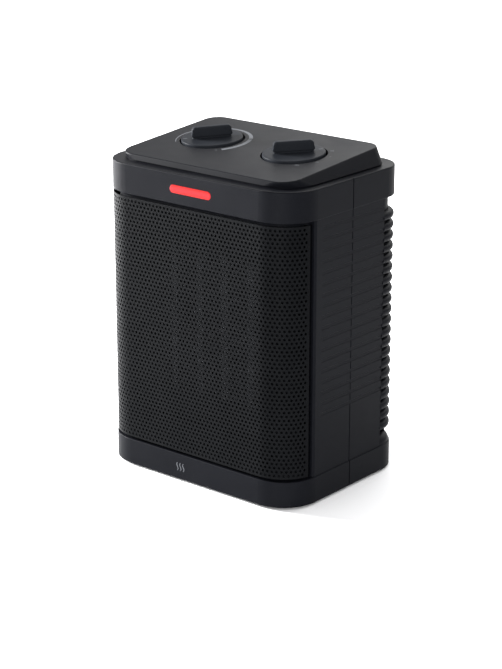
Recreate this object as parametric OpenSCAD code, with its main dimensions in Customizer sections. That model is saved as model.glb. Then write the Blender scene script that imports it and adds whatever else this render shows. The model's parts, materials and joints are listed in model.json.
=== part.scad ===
// Desktop ceramic fan heater with two rotary controls.
// Origin: middle of the footprint on the standing surface. +Z up, the hot air leaves towards -Y.

/* [Housing] */
// Width of the housing
body_w = 185; // [165:1:222]
// Depth of the housing
body_d = 136; // [128:1:164]
// Height of the housing without its feet and control panel
body_h = 235.2; // [205:0.1:283]
// Corner radius at the front
front_r = 29.5; // [24:0.5:35]
// Corner radius at the rear
rear_r = 23; // [19:0.5:28]
// Thickness of the moulded shells
wall = 2.4; // [2:0.1:2.8]
// Height of the band below the front grille
base_h = 20; // [17:0.1:25]
// Height of the band above the front grille
crown_h = 22.4; // [19:0.1:27]
// Where the front and rear shells meet, measured from the middle
seam_y = 2.7; // [0:0.1:6]
// Height of the rubber feet
foot_h = 1.5; // [1:0.1:2]
// Radius that softens the top edge
edge_r = 1; // [0.5:0.1:1.5]
// How far the base stands out beyond the side panels and the crown
base_proud = 0.4; // [0.2:0.1:0.8]
// How far the side panels lie inside the crown
waist = 0.3; // [0.2:0.1:0.6]

/* [Front grille] */
// How far the grille lies inside the housing outline
grille_inset = 0.2; // [0.1:0.1:1]
// Thickness of the grille sheet
grille_t = 0.8; // [0.6:0.1:1]
// Shadow gap above the grille
grille_gap_top = 2.5; // [1:0.1:3]
// Shadow gap below the grille
grille_gap_low = 2.3; // [1.5:0.1:3.5]
// Distance from the housing front to the side panel's front edge
cheek_y = 27.2; // [23:0.1:32]
// Gap between the grille's end and the side panel
cheek_gap = 4.6; // [3.6:0.1:6]

/* [Side grooves and rear bars] */
// Wanted spacing of the rear bars and side grooves
bar_pitch_wanted = 8.2; // [7.8:0.1:10]
// Radius of a rear bar's rounded front
bar_r = 3.4; // [3:0.1:3.6]
// Depth of the recess that the rear bars stand in
recess = 4.5; // [4.2:0.1:4.7]
// Width of a side groove
groove_w = 3; // [2:0.1:3.5]
// Depth of a side groove
groove_depth = 0.35; // [0.2:0.05:0.6]

/* [Control panel] */
// Slope of the control panel, rising to the rear
panel_slope = 4.6; // [3:0.1:6]
// Height of the panel's sloping face above the housing, over the middle
panel_h = 9.6; // [9.2:0.1:12]
// Width of the ledge beside the panel
ledge_side = 6.7; // [5:0.1:10]
// Width of the ledge in front of the panel
ledge_front = 9.2; // [7:0.1:11]
// Width of the ledge behind the panel
ledge_rear = 12; // [9:0.1:14]

/* [Knobs] */
// Distance between the two knobs
knob_span = 78; // [66:0.1:94]
// Distance of the knobs behind the middle
knob_y = 1.6; // [0:0.1:8]
// Radius of the knob disc
knob_r = 23.2; // [20:0.1:28]
// Gap between a knob and its well
knob_gap = 1.3; // [1:0.1:1.6]
// Height of the knob disc above the panel
knob_proud = 1.6; // [1:0.1:2.5]
// Height of the grip's top above the panel
grip_top = 10.4; // [9:0.1:13]
// Length of the grip
grip_len = 31; // [26:0.5:36]
// Thickness of the grip
grip_t = 5.4; // [4.6:0.1:7]
// Direction of the left grip at rest
grip_angle_left = 48; // [30:1:60]
// Direction of the right grip at rest
grip_angle_right = 43; // [30:1:60]
// Radius of the control shafts
stem_r = 3; // [2.5:0.1:3.4]

/* [Heating element] */
// Number of heating rows
row_count = 4; // [3:1:4]
// Width of one heating row
row_w = 24.6; // [20:0.1:25]
// Height of the heating rows
row_h = 111.5; // [93:0.5:116]
// Depth of the heating rows
row_d = 16; // [13:0.5:17]
// Width of one row's flat tube
tube_w = 6; // [5:0.1:7]

/* [Fan] */
// Radius of the fan blades
fan_r = 50; // [42:0.5:54]
// Number of fan blades
blade_count = 7; // [5:1:9]
// Radius of the motor shaft
shaft_r = 2; // [1.7:0.1:2.4]

/* [Hidden] */
$fn = 64;

black_plastic = [0.13, 0.13, 0.14];
dark_metal = [0.16, 0.16, 0.17];
inner_plastic = [0.2, 0.2, 0.21];
steel = [0.62, 0.62, 0.64];
aluminium = [0.75, 0.76, 0.78];
copper = [0.72, 0.42, 0.25];
brass = [0.8, 0.65, 0.35];
board_green = [0.12, 0.3, 0.2];

eps = 0.01;
reach = 400;

// Heights of the housing's levels
body_z0 = foot_h;
body_z1 = foot_h + body_h;
base_z = body_z0 + base_h;
crown_z = body_z1 - crown_h;
grille_z0 = base_z + grille_gap_low;
grille_z1 = crown_z - grille_gap_top;
core_z = (base_z + crown_z) / 2 + 2;

// Plan positions of the housing
side_x = body_w / 2;
front_y = -body_d / 2;
rear_y = body_d / 2;
panel_x = side_x - waist;
cheek_edge = front_y + cheek_y;
grille_end = cheek_edge - cheek_gap;
seat_inset = 5;
seat_t = 2.2;
seat_depth = seat_inset + seat_t;
seat_back = front_y + seat_depth;
return_t = 2.4;
cheek_chamfer = [1, 2];
lip_r = 0.5;
seam_groove = [0.5, 0.4];

// Rear recess: the bars wrap the corners from bar_y on one side to bar_y on the other
bar_y = rear_y - 27;
recess_back = recess + seat_t;
shoulder_z = base_z;
shoulder_r = 6;
bar_z0 = shoulder_z + shoulder_r + 8.6;
bar_z1 = crown_z - 14.6;
bar_gaps = round((bar_z1 - bar_z0) / bar_pitch_wanted);
bar_pitch = (bar_z1 - bar_z0) / bar_gaps;
bar_back = 1.4;
rib_w = 3.2;
rib_xs = [for (i = [-2:2]) i * (side_x - rear_r - 3.5) / 2];

// Side grooves stop short of the lowest bars
plain_bars = 3;
groove_y0 = front_y + 36;

// Control panel, with its own frame: origin in the sloping face above the middle
panel_z = body_z1 + panel_h;
panel_wall = 2.2;
panel_taper = [4.7, 0.9, 2.6];
panel_r = [26.5, 15.1, 15, 12.2];
opening_margin = 4;
well_r = knob_r + knob_gap;
well_depth = 6;
well_floor = 2;
well_under = well_depth + well_floor;
stem_fit = 0.05;
stem_top = -0.6;
knob_under = -well_depth + 0.8;
hub_r = 6;
grip_taper = 0.6;
grip_neck = [1.8, 1];
control_body_h = 16;
control_screw_r = 1.4;
control_screw_at = 11;
control_plate_w = 30;
control_plate_t = 2;
control_drop = 1;
control_w = 16;
control_d = 20;
switch_r = 12;

// Heating element, set back behind the seat wall
core_w = row_count * row_w;
core_y0 = front_y + 22.5;
core_y1 = core_y0 + row_d;
frame_wall = 7;
frame_fit = 0.3;
frame_screw = 3.6;
frame_y1 = core_y1 + 7.5;
frame_w = core_w + 2 * (frame_fit + frame_wall);
frame_h = row_h + 2 * (frame_fit + frame_wall);
mouth_flare = [11.2, 16.2];
mouth_w = core_w + 2 * mouth_flare[0];
mouth_h = row_h + 2 * mouth_flare[1];
duct_t = 1.6;
duct_y0 = seat_back + 0.06;
tube_t = 0.7;
fin_t = 0.45;
fin_pitch = 4.5;
stone_count = 4;
terminal_y = core_y0 + row_d / 2;
terminal_t = 0.8;
blade_w = 6.3;
blade_up = 8;
slot_fit = 0.3;

// Fan and motor, on one axis through the middle of the element
plate_t = 2.5;
plate_y1 = frame_y1 + plate_t;
ring_gap = 3;
ring_t = 2.2;
fan_y0 = plate_y1 + 2.5;
fan_depth = 16;
hub_d = 32;
blade_chord = 21;
blade_t = 1.8;
blade_pitch = 34;
spoke_y = fan_y0 + fan_depth + 4;
spoke_t = 3;
spoke_w = 8;
spoke_y1 = spoke_y + spoke_t;
motor_seat_r = 30;
core_plate_y = spoke_y1 + 6;
motor_depth = 18;
bridge_t = 2.5;
bridge_gap = 3;
bridge_w = 58;
bridge_h = 12;
motor_back = core_plate_y + motor_depth + bridge_gap + bridge_t;
post_r = 3.6;
bearing_r = 5;
bearing_len = 6;
motor_bolt_x = 24;
rotor_r = 12.6;
rotor_gap = 0.5;
lam_w = 60;
lam_h = 54;
lam_below = 36;
window_w = 32;
window_h = 12;
window_below = 29;
coil_w = 26;
coil_wrap = 3;
coil_below = 42;
shaft_y0 = fan_y0 + 3;
shaft_y1 = core_plate_y + motor_depth + bridge_gap + bearing_len + 1;
shaft_fit = 0.04;

// Indicator bar in the front of the crown
lens_w = 38.8;
lens_h = 6;
lens_z = body_z1 - 11.5;
lens_fit = 0.1;
lens_proud = 0.2;
board_y = front_y + wall + 6;

// Housing screws join the shells from the rear
screw_x = 62;
screw_zs = [body_z0 + 11.5, body_z1 - 10.5];
screw_r = 1.75;
screw_head_r = 3.2;
screw_head_h = 2.2;
screw_len = 15;
shroud_screw_len = 11;
well_outer_r = 5;
boss_r = 4.5;
boss_len = 14;
pilot_r = 1.3;
web_t = 2.5;

// Tip-over switch, cord entry and terminals on the floor of the housing
floor_z = body_z0 + wall;
tip_at = [42, 24];
tip_size = [18, 14, 26];
tip_r = 3;
tip_fit = 0.06;
tip_travel = 3;
gland_x = -30;
gland_z = body_z0 + 11;
gland_r = 6;
gland_rim = 8.5;
gland_sink = 1.2;
gland_bore = 3.7;
gland_y0 = rear_y - wall - 8;
block_at = [-30, 30];
block_size = [30, 15, 13];
block_pitch = 10;
block_hole = 5;
block_top = floor_z + block_size[2];

// Leads reach the sides of the two control bodies at this height
tap_z = panel_z - 18.6;
tap_x = knob_span / 2 - 8;
cross_z = crown_z - 1;
lead_back_y = plate_y1 - 0.5;

foot_at = [side_x - 27, body_d / 2 - 24];
foot_r = 8;
foot_sink = 1;

// ---- shared outlines and sweeps ----

module mirrored_x() {
    children();
    mirror([1, 0, 0]) children();
}

// A rounded rectangle in plan, with its own radius at the front and at the rear
module plan_rect(half_w, y0, y1, r0, r1) {
    polygon([
        [-half_w, y0 + r0], [-half_w + r0, y0], [half_w - r0, y0], [half_w, y0 + r0],
        [half_w, y1 - r1], [half_w - r1, y1], [-half_w + r1, y1], [-half_w, y1 - r1]
    ]);
    mirrored_x() {
        translate([half_w - r0, y0 + r0]) circle(r0);
        translate([half_w - r1, y1 - r1]) circle(r1);
    }
}

// The housing's plan, drawn in by a given inset
module outline(inset) {
    plan_rect(side_x - inset, front_y + inset, rear_y - inset, front_r - inset, rear_r - inset);
}

module outline_band(inset, thickness) {
    difference() {
        outline(inset);
        outline(inset + thickness);
    }
}

// Keeps what lies between two planes across the depth
module between_y(y0, y1) {
    intersection() {
        children();
        translate([-reach, y0]) square([2 * reach, y1 - y0]);
    }
}

// Sweeps of a wall profile: x = 0 is the outer face and x < 0 is inside, y is the height
module run_side(y0, y1) {
    mirrored_x() translate([side_x, y1, 0]) rotate([90, 0, 0]) linear_extrude(y1 - y0) children();
}

module run_corner(y, r, start) {
    mirrored_x() translate([side_x - r, y, 0]) rotate([0, 0, start])
        rotate_extrude(angle = 90) translate([r, 0]) children();
}

module run_front() {
    length = body_w - 2 * front_r;
    translate([-length / 2, front_y, 0]) mirror([0, 1, 0]) rotate([90, 0, 90])
        linear_extrude(length) children();
}

module run_rear(x0, x1) {
    translate([x0, rear_y, 0]) rotate([90, 0, 90]) linear_extrude(x1 - x0) children();
}

module around_front() {
    run_side(front_y + front_r, seam_y) children();
    run_corner(front_y + front_r, front_r, -90) children();
    run_front() children();
}

module around_rear() {
    run_side(bar_y, rear_y - rear_r) children();
    run_corner(rear_y - rear_r, rear_r, 0) children();
    run_rear(-side_x + rear_r, side_x - rear_r) children();
}

// The end of a wall profile at a height, its outer edge rounded: up = 1 for a lower end, -1 for an upper end
module soft_end(z, r, up) {
    translate([-wall, min(z, z + up * r)]) square([wall - r, r]);
    translate([-r, z + up * r]) circle(r);
}

// Wall profile from a height up to the softened top edge
module top_edge_profile(z0) {
    translate([-wall, z0]) square([wall, body_z1 - edge_r - z0]);
    soft_end(body_z1, edge_r, -1);
}

// Wall profile from the softened bottom edge up to a height
module bottom_edge_profile(z1) {
    translate([-wall, body_z0 + edge_r]) square([wall, z1 - body_z0 - edge_r]);
    soft_end(body_z0, edge_r, 1);
}

// The crown's wall, with a soft lower edge
module crown_profile() {
    top_edge_profile(crown_z + lip_r);
    soft_end(crown_z, lip_r, 1);
}

// The base's wall, which stands out and has a soft upper edge
module base_profile() translate([base_proud, 0]) {
    bottom_edge_profile(base_z - lip_r);
    soft_end(base_z, lip_r, -1);
}

// The ledge that carries the control panel, between two planes
module ledge(y0, y1) {
    translate([0, 0, body_z1 - wall]) linear_extrude(wall) between_y(y0, y1) difference() {
        outline(edge_r);
        panel_opening();
    }
}

module panel_opening() {
    margin = opening_margin;
    plan_rect(side_x - ledge_side - margin, front_y + ledge_front + margin, rear_y - ledge_rear - margin,
        panel_r[0] - margin, panel_r[2] - margin);
}

function groove_z(i) = bar_z0 + (i + 0.87) * bar_pitch;

// Shallow grooves along the side panels, between two planes
module side_grooves(y0, y1) {
    run_side(y0, y1) for (i = [plain_bars:bar_gaps]) translate([-waist, groove_z(i)])
        polygon([
            [1, -groove_w / 2 - 1], [-groove_depth, -groove_w / 2 + groove_depth],
            [-groove_depth, groove_w / 2 - groove_depth], [1, groove_w / 2 + 1]
        ]);
}

module along_y(x, y, z) {
    translate([x, y, z]) rotate([-90, 0, 0]) children();
}

module at_screws() {
    for (x = [-screw_x, screw_x], z = screw_zs) translate([x, 0, z]) children();
}

module at_feet() {
    for (x = [-1, 1], y = [-1, 1]) translate([x * foot_at[0], y * foot_at[1], 0]) children();
}

// The control panel's own frame
module on_panel() {
    translate([0, 0, panel_z]) rotate([panel_slope, 0, 0]) children();
}

module at_knob(side) {
    on_panel() translate([side * knob_span / 2, knob_y, 0]) children();
}

module at_controls() {
    for (side = [-1, 1]) at_knob(side) children();
}

// A lead that runs straight from point to point with rounded turns
module lead(points, r) {
    for (i = [0:len(points) - 2]) {
        run = points[i + 1] - points[i];
        length = norm(run);
        turn = [0, acos(run[2] / length), atan2(run[1], run[0])];
        translate(points[i]) rotate(turn) cylinder(h = length, r = r, $fn = 16);
        if (i > 0) translate(points[i]) sphere(r, $fn = 16);
    }
}

// ---- housing ----

module seat_walls() {
    mid_z = base_z - wall;
    translate([0, 0, mid_z]) linear_extrude(crown_z + wall - mid_z) difference() {
        union() {
            between_y(cheek_edge, seam_y) outline_band(waist, wall);
            between_y(front_y, cheek_edge + return_t) outline_band(seat_inset, seat_t);
            between_y(cheek_edge, cheek_edge + return_t) outline_band(waist, seat_depth - waist);
        }
        mirrored_x() polygon([
            [side_x + 1, cheek_edge - 1], [panel_x - cheek_chamfer[0], cheek_edge - 1],
            [panel_x - cheek_chamfer[0], cheek_edge], [panel_x, cheek_edge + cheek_chamfer[1]],
            [side_x + 1, cheek_edge + cheek_chamfer[1]]
        ]);
    }
}

module front_housing() color(black_plastic) difference() {
    union() {
        around_front() {
            crown_profile();
            base_profile();
        }
        translate([0, 0, body_z0]) linear_extrude(wall) between_y(front_y, seam_y) outline(edge_r);
        for (z = [base_z - wall, crown_z])
            translate([0, 0, z]) linear_extrude(wall) between_y(front_y, cheek_edge + return_t)
                outline_band(lip_r, seat_depth - lip_r);
        seat_walls();
        ledge(front_y, seam_y);
        at_screws() along_y(0, seam_y - boss_len, 0) cylinder(h = boss_len, r = boss_r);
        for (z = screw_zs) mirrored_x() translate([screw_x, seam_y - boss_len, z - web_t / 2])
            cube([side_x - wall / 2 - screw_x, boss_len, web_t]);
    }
    translate([-mouth_w / 2, front_y, core_z - mouth_h / 2]) cube([mouth_w, seat_depth + 1, mouth_h]);
    side_grooves(groove_y0, seam_y + 1);
    seam_cut(seam_y - seam_groove[0]);
    at_screws() along_y(0, seam_y - boss_len + 1, 0) cylinder(h = boss_len, r = pilot_r);
    translate([-lens_w / 2, front_y - 1, lens_z - lens_h / 2]) lens_block(wall + 2, lens_fit);
    at_feet() translate([0, 0, body_z0 - 1]) cylinder(h = foot_sink + 1, r = foot_r);
}

// A hairline groove where the shells meet
module seam_cut(y) {
    translate([0, 0, body_z0 - 1]) linear_extrude(body_h + 2) between_y(y, y + seam_groove[0] + eps)
        difference() {
            outline(-1);
            outline(waist + seam_groove[1]);
        }
}

// A flat bar with round ends, as deep as asked, standing in the XZ plane
module lens_block(depth, grow) {
    r = lens_h / 2 + grow;
    translate([0, depth, 0]) rotate([90, 0, 0]) linear_extrude(depth) {
        for (x = [lens_h / 2, lens_w - lens_h / 2]) translate([x, lens_h / 2]) circle(r);
        translate([lens_h / 2, -grow]) square([lens_w - lens_h, 2 * r]);
    }
}

// The rear wall's profile: base, shoulder, recessed strips and crown
module rear_profile() {
    base_profile();
    translate([-shoulder_r - waist, shoulder_z]) intersection() {
        difference() {
            circle(shoulder_r);
            circle(shoulder_r - wall);
        }
        square(shoulder_r);
    }
    translate([-wall - waist, shoulder_z - wall / 2]) square([wall, wall / 2]);
    translate([-recess_back, shoulder_z + shoulder_r - wall]) square([seat_t, wall / 2]);
    translate([-recess_back, bar_z1]) square([seat_t, crown_z - bar_z1 + wall / 2]);
    translate([-recess_back, crown_z]) square([recess_back - lip_r, wall]);
    crown_profile();
}

// The rounded bars, flat at the back
module bar_profile() {
    for (i = [0:bar_gaps]) translate([-bar_r, bar_z0 + i * bar_pitch]) intersection() {
        circle(bar_r);
        translate([-bar_back, -bar_r]) square([bar_r + bar_back, 2 * bar_r]);
    }
}

module rear_ribs() {
    z0 = shoulder_z + shoulder_r - wall;
    rib_h = bar_z1 + 1 - z0;
    rib_depth = recess_back - bar_r;
    for (x = rib_xs) translate([x - rib_w / 2, rear_y - recess_back, z0]) cube([rib_w, rib_depth, rib_h]);
    mirrored_x() {
        translate([side_x - rear_r, rear_y - rear_r, 0]) rotate([0, 0, 45])
            translate([rear_r - recess_back, -rib_w / 2, z0]) cube([rib_depth, rib_w, rib_h]);
        translate([side_x - recess_back, bar_y - return_t, z0])
            cube([recess_back - wall / 2, return_t, crown_z + wall / 2 - z0]);
    }
}

module screw_wells(r, y0, y1) {
    at_screws() along_y(0, y0, 0) cylinder(h = y1 - y0, r = r);
}

module rear_housing() color(black_plastic) difference() {
    union() {
        run_side(seam_y, bar_y) {
            base_profile();
            translate([-waist - wall, base_z - wall]) square([wall, crown_z - base_z + 2 * wall]);
            crown_profile();
        }
        around_rear() rear_profile();
        around_rear() bar_profile();
        rear_ribs();
        translate([0, 0, body_z0]) linear_extrude(wall) between_y(seam_y, rear_y) outline(edge_r);
        ledge(seam_y, rear_y);
        screw_wells(well_outer_r, seam_y, rear_y - wall / 2);
        for (x = [-screw_x, screw_x]) {
            translate([x - web_t / 2, seam_y, body_z0])
                cube([web_t, rear_y - wall - seam_y, screw_zs[0] - body_z0 - well_outer_r + 1]);
        }
    }
    side_grooves(seam_y - 1, bar_y);
    seam_cut(seam_y);
    screw_wells(screw_head_r + 0.6, seam_y + 3, rear_y + 1);
    screw_wells(screw_r + 0.25, seam_y - 1, rear_y);
    along_y(gland_x, rear_y - wall - 1, gland_z) cylinder(h = wall + 2, r = gland_r);
    along_y(gland_x, rear_y - gland_sink, gland_z) cylinder(h = gland_sink + 1, r = gland_rim);
    translate([tip_at[0], tip_at[1], body_z0 - 1]) cylinder(h = wall + 2, r = tip_r + 0.5);
    at_feet() translate([0, 0, body_z0 - 1]) cylinder(h = foot_sink + 1, r = foot_r);
}

// The raised panel: a thin plan at the ledge blended to the sloping plan above it
module panel_form(inset) {
    base_half = side_x - ledge_side - inset;
    base_y = [front_y + ledge_front + inset, rear_y - ledge_rear - inset];
    top_half = base_half - panel_taper[0];
    top_y = [base_y[0] + panel_taper[1], base_y[1] - panel_taper[2]];
    top_r = [panel_r[1] - inset / 2, panel_r[3] - inset / 2];
    skin = 0.2;
    hull() {
        translate([0, 0, body_z1]) linear_extrude(skin)
            plan_rect(base_half, base_y[0], base_y[1], panel_r[0] - inset, panel_r[2] - inset, $fn = 48);
        on_panel() translate([0, 0, -inset - skin]) linear_extrude(skin)
            plan_rect(top_half, top_y[0], top_y[1], top_r[0], top_r[1], $fn = 48);
    }
}

module control_panel() color(black_plastic) difference() {
    union() {
        difference() {
            panel_form(0);
            translate([0, 0, -eps]) panel_form(panel_wall);
        }
        at_controls() translate([0, 0, -well_under]) cylinder(h = well_under - 0.5, r = well_r + 1.8);
        at_controls() translate([0, 0, -well_under - 1]) for (a = [0, 180]) rotate([0, 0, a])
            translate([control_screw_at, 0, 0]) cylinder(h = 2, r = 3);
    }
    at_controls() translate([0, 0, -well_depth]) cylinder(h = well_depth + 5, r = well_r);
    at_controls() translate([0, 0, -well_under - 2]) cylinder(h = well_under, r = stem_r + 0.6);
    at_controls() for (a = [0, 180]) rotate([0, 0, a])
        translate([control_screw_at, 0, -well_under - 1.5]) cylinder(h = 2.6, r = control_screw_r - 0.3);
}

module front_grille() color(dark_metal) translate([0, 0, grille_z0]) linear_extrude(grille_z1 - grille_z0) {
    between_y(front_y, grille_end) outline_band(grille_inset, grille_t);
    between_y(grille_end - grille_t, grille_end) outline_band(grille_inset, seat_inset - grille_inset);
}

// ---- heating element ----

// A rectangular funnel from the mouth in the housing back to the element
module funnel(half_0, half_1, y0, y1) {
    hull() {
        translate([-half_0[0], y0, core_z - half_0[1]]) cube([2 * half_0[0], eps, 2 * half_0[1]]);
        translate([-half_1[0], y1 - eps, core_z - half_1[1]]) cube([2 * half_1[0], eps, 2 * half_1[1]]);
    }
}

module air_duct() color(inner_plastic) {
    mouth = [mouth_w / 2, mouth_h / 2];
    inner = [core_w / 2, row_h / 2];
    grow = [duct_t, duct_t];
    difference() {
        union() {
            funnel(mouth + grow, inner + grow, duct_y0, core_y0);
            translate([-mouth[0] - 4, duct_y0, core_z - mouth[1] - 4])
                cube([mouth_w + 8, duct_t, mouth_h + 8]);
            translate([-inner[0] - 6, core_y0 - duct_t, core_z - inner[1] - 6])
                cube([core_w + 12, duct_t, row_h + 12]);
        }
        funnel(mouth, inner, duct_y0 - eps, core_y0 + eps);
    }
}

module element_frame() color(inner_plastic) difference() {
    translate([-frame_w / 2, core_y0, core_z - frame_h / 2]) cube([frame_w, frame_y1 - core_y0, frame_h]);
    translate([-core_w / 2 - frame_fit, core_y0 - 1, core_z - row_h / 2])
        cube([core_w + 2 * frame_fit, frame_y1 - core_y0 + 2, row_h]);
    for (i = [0:row_count - 1]) translate([row_x(i), terminal_y, core_z + row_h / 2 - 1])
        translate([-blade_w / 2 - slot_fit, -terminal_t / 2 - slot_fit, 0])
            cube([blade_w + 2 * slot_fit, terminal_t + 2 * slot_fit, frame_wall + 2]);
    at_shroud_screws() along_y(0, plate_y1 - shroud_screw_len, 0)
        cylinder(h = shroud_screw_len, r = pilot_r);
}

function row_x(i) = -core_w / 2 + (i + 0.5) * row_w;

module ptc_tubes() color(aluminium) for (i = [0:row_count - 1])
    translate([row_x(i) - tube_w / 2, core_y0 + 0.5, core_z - row_h / 2]) difference() {
        cube([tube_w, row_d - 1, row_h]);
        translate([tube_t, tube_t, -1]) cube([tube_w - 2 * tube_t, row_d - 1 - 2 * tube_t, row_h + 2]);
    }

module ptc_stones() color("silver") {
    pitch = (row_h - 10) / stone_count;
    for (i = [0:row_count - 1], k = [0:stone_count - 1])
        translate([row_x(i) - tube_w / 2 + tube_t, core_y0 + 2, core_z - row_h / 2 + 5 + k * pitch])
            cube([tube_w - 2 * tube_t, row_d - 4, pitch - 1]);
}

// One corrugated strip, folded from side to side on its way up
module fin_strip(width) {
    folds = 2 * floor((row_h - 2) / fin_pitch);
    step = (row_h - 1 - fin_t) / folds;
    notch = width * fin_t / (2 * step);
    left = [for (i = [0:folds]) each i % 2 == 0
        ? [[0, i * step], [0, i * step + fin_t]] : [[width - notch, i * step + fin_t / 2]]];
    right = [for (i = [folds - 1:-1:1]) each i % 2 == 1
        ? [[width, i * step + fin_t], [width, i * step]] : [[notch, i * step + fin_t / 2]]];
    translate([0, row_d, 0]) rotate([90, 0, 0]) linear_extrude(row_d) polygon(concat(left, right));
}

module ptc_fins() color(aluminium) {
    fin_w = (row_w - tube_w) / 2 - fin_t / 2;
    z0 = core_z - row_h / 2 + 0.5;
    for (i = [0:row_count - 1]) {
        translate([row_x(i) + tube_w / 2, core_y0, z0]) fin_strip(fin_w);
        translate([row_x(i) - tube_w / 2 - fin_w, core_y0, z0]) fin_strip(fin_w);
    }
    for (i = [1:row_count - 1])
        translate([-core_w / 2 + i * row_w - fin_t / 2, core_y0, z0]) cube([fin_t, row_d, row_h - 1]);
}

module element_terminals() color(brass) for (i = [0:row_count - 1])
    translate([row_x(i) - blade_w / 2, terminal_y - terminal_t / 2, core_z + row_h / 2])
        cube([blade_w, terminal_t, frame_wall + blade_up]);

// ---- fan and motor ----

module at_shroud_screws() {
    for (x = [-1, 1], z = [-1, 1])
        translate([x * (frame_w / 2 - frame_screw), 0, core_z + z * (frame_h / 2 - frame_screw)]) children();
}

module fan_shroud() color(inner_plastic) difference() {
    union() {
        translate([-frame_w / 2, frame_y1, core_z - frame_h / 2]) cube([frame_w, plate_t, frame_h]);
        along_y(0, frame_y1, core_z) cylinder(h = spoke_y1 - frame_y1, r = fan_r + ring_gap + ring_t);
    }
    difference() {
        along_y(0, frame_y1 - 1, core_z) cylinder(h = reach, r = fan_r + ring_gap);
        for (a = [0, 90]) translate([0, spoke_y, core_z]) rotate([0, a, 0])
            translate([-fan_r - ring_gap - ring_t / 2, 0, -spoke_w / 2])
                cube([2 * fan_r + 2 * ring_gap + ring_t, spoke_t, spoke_w]);
        along_y(0, spoke_y, core_z) cylinder(h = spoke_t, r = motor_seat_r);
    }
    along_y(0, spoke_y - 1, core_z) cylinder(h = spoke_t + 2, r = bearing_r + 2);
    at_motor_bolts() along_y(0, spoke_y - 1, 0) cylinder(h = spoke_t + 2, r = pilot_r);
    at_shroud_screws() along_y(0, frame_y1 - 1, 0) cylinder(h = plate_t + 2, r = screw_r + 0.15);
}

module at_motor_bolts() {
    for (x = [-motor_bolt_x, motor_bolt_x]) translate([x, 0, core_z]) children();
}

module motor_core() color(steel) difference() {
    translate([-lam_w / 2, core_plate_y, core_z - lam_below]) cube([lam_w, motor_depth, lam_h]);
    translate([-window_w / 2, core_plate_y - 1, core_z - window_below])
        cube([window_w, motor_depth + 2, window_h]);
    along_y(0, core_plate_y - 1, core_z) cylinder(h = motor_depth + 2, r = rotor_r + rotor_gap);
    at_motor_bolts() along_y(0, core_plate_y - 1, 0) cylinder(h = motor_depth + 2, r = screw_r);
}

// The coil is wound round the core's lower limb
module motor_coil() color(copper) difference() {
    translate([-coil_w / 2, core_plate_y - coil_wrap, core_z - coil_below])
        cube([coil_w, motor_depth + 2 * coil_wrap, coil_below - window_below + window_h - slot_fit]);
    translate([-coil_w / 2 - 1, core_plate_y, core_z - lam_below])
        cube([coil_w + 2, motor_depth, lam_below - window_below]);
}

// A bearing bridge across the motor: a bar, its bearing, and two posts that stand on the core
module bridge(bar_y0, bearing_y0, post_y0, post_len) difference() {
    union() {
        translate([-bridge_w / 2, bar_y0, core_z - bridge_h / 2]) cube([bridge_w, bridge_t, bridge_h]);
        along_y(0, bearing_y0, core_z) cylinder(h = bearing_len, r = bearing_r);
        at_motor_bolts() along_y(0, post_y0, 0) cylinder(h = post_len, r = post_r);
    }
    along_y(0, bearing_y0 - 1, core_z) cylinder(h = bearing_len + 2, r = shaft_r + shaft_fit);
    at_motor_bolts() along_y(0, spoke_y, 0) cylinder(h = motor_back - spoke_y + 1, r = screw_r);
}

module motor_bridges() color(steel) {
    rear_bar = motor_back - bridge_t;
    bridge(spoke_y1, spoke_y1 - 2, spoke_y1, core_plate_y - spoke_y1);
    bridge(rear_bar, rear_bar, rear_bar - bridge_gap, bridge_gap);
}

module motor_rotor() color(steel) difference() {
    along_y(0, core_plate_y, core_z) cylinder(h = motor_depth, r = rotor_r);
    along_y(0, core_plate_y - 1, core_z) cylinder(h = motor_depth + 2, r = shaft_r);
}

module motor_shaft() color("silver")
    along_y(0, shaft_y0, core_z) cylinder(h = shaft_y1 - shaft_y0, r = shaft_r);

module fan_impeller() color([0.3, 0.3, 0.31]) difference() {
    union() {
        along_y(0, fan_y0, core_z) cylinder(h = fan_depth, r = hub_d / 2);
        intersection() {
            for (i = [0:blade_count - 1]) translate([0, fan_y0 + fan_depth / 2, core_z])
                rotate([0, i * 360 / blade_count, 0]) rotate([blade_pitch, 0, 0])
                    translate([hub_d / 2 - 3, -blade_t / 2, -blade_chord / 2])
                        cube([fan_r, blade_t, blade_chord]);
            along_y(0, fan_y0, core_z) cylinder(h = fan_depth, r = fan_r);
        }
    }
    along_y(0, fan_y0 + 3, core_z) cylinder(h = fan_depth, r = shaft_r);
    along_y(0, fan_y0 + 9, core_z) difference() {
        cylinder(h = fan_depth, r = hub_d / 2 - 2);
        translate([0, 0, -1]) cylinder(h = fan_depth + 2, r = shaft_r + 3);
    }
}

// ---- controls ----

// A knob: a low disc in its well with an overhanging grip, bored for the shaft
module knob(grip_angle) {
    difference() {
        union() {
            rotate_extrude() polygon([
                [0, knob_under], [knob_r - 0.6, knob_under], [knob_r, knob_under + 0.6],
                [knob_r, knob_proud - 1.2], [knob_r - 1.6, knob_proud], [0, knob_proud]
            ]);
            rotate([0, 0, grip_angle]) grip();
        }
        translate([0, 0, knob_under - 1]) difference() {
            cylinder(h = knob_proud - knob_under - 1, r = knob_r - 2);
            translate([0, 0, -1]) cylinder(h = 10, r = hub_r);
        }
        translate([0, 0, knob_under - 1]) cylinder(h = stem_top - knob_under + 1.2, r = stem_r);
    }
}

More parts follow.
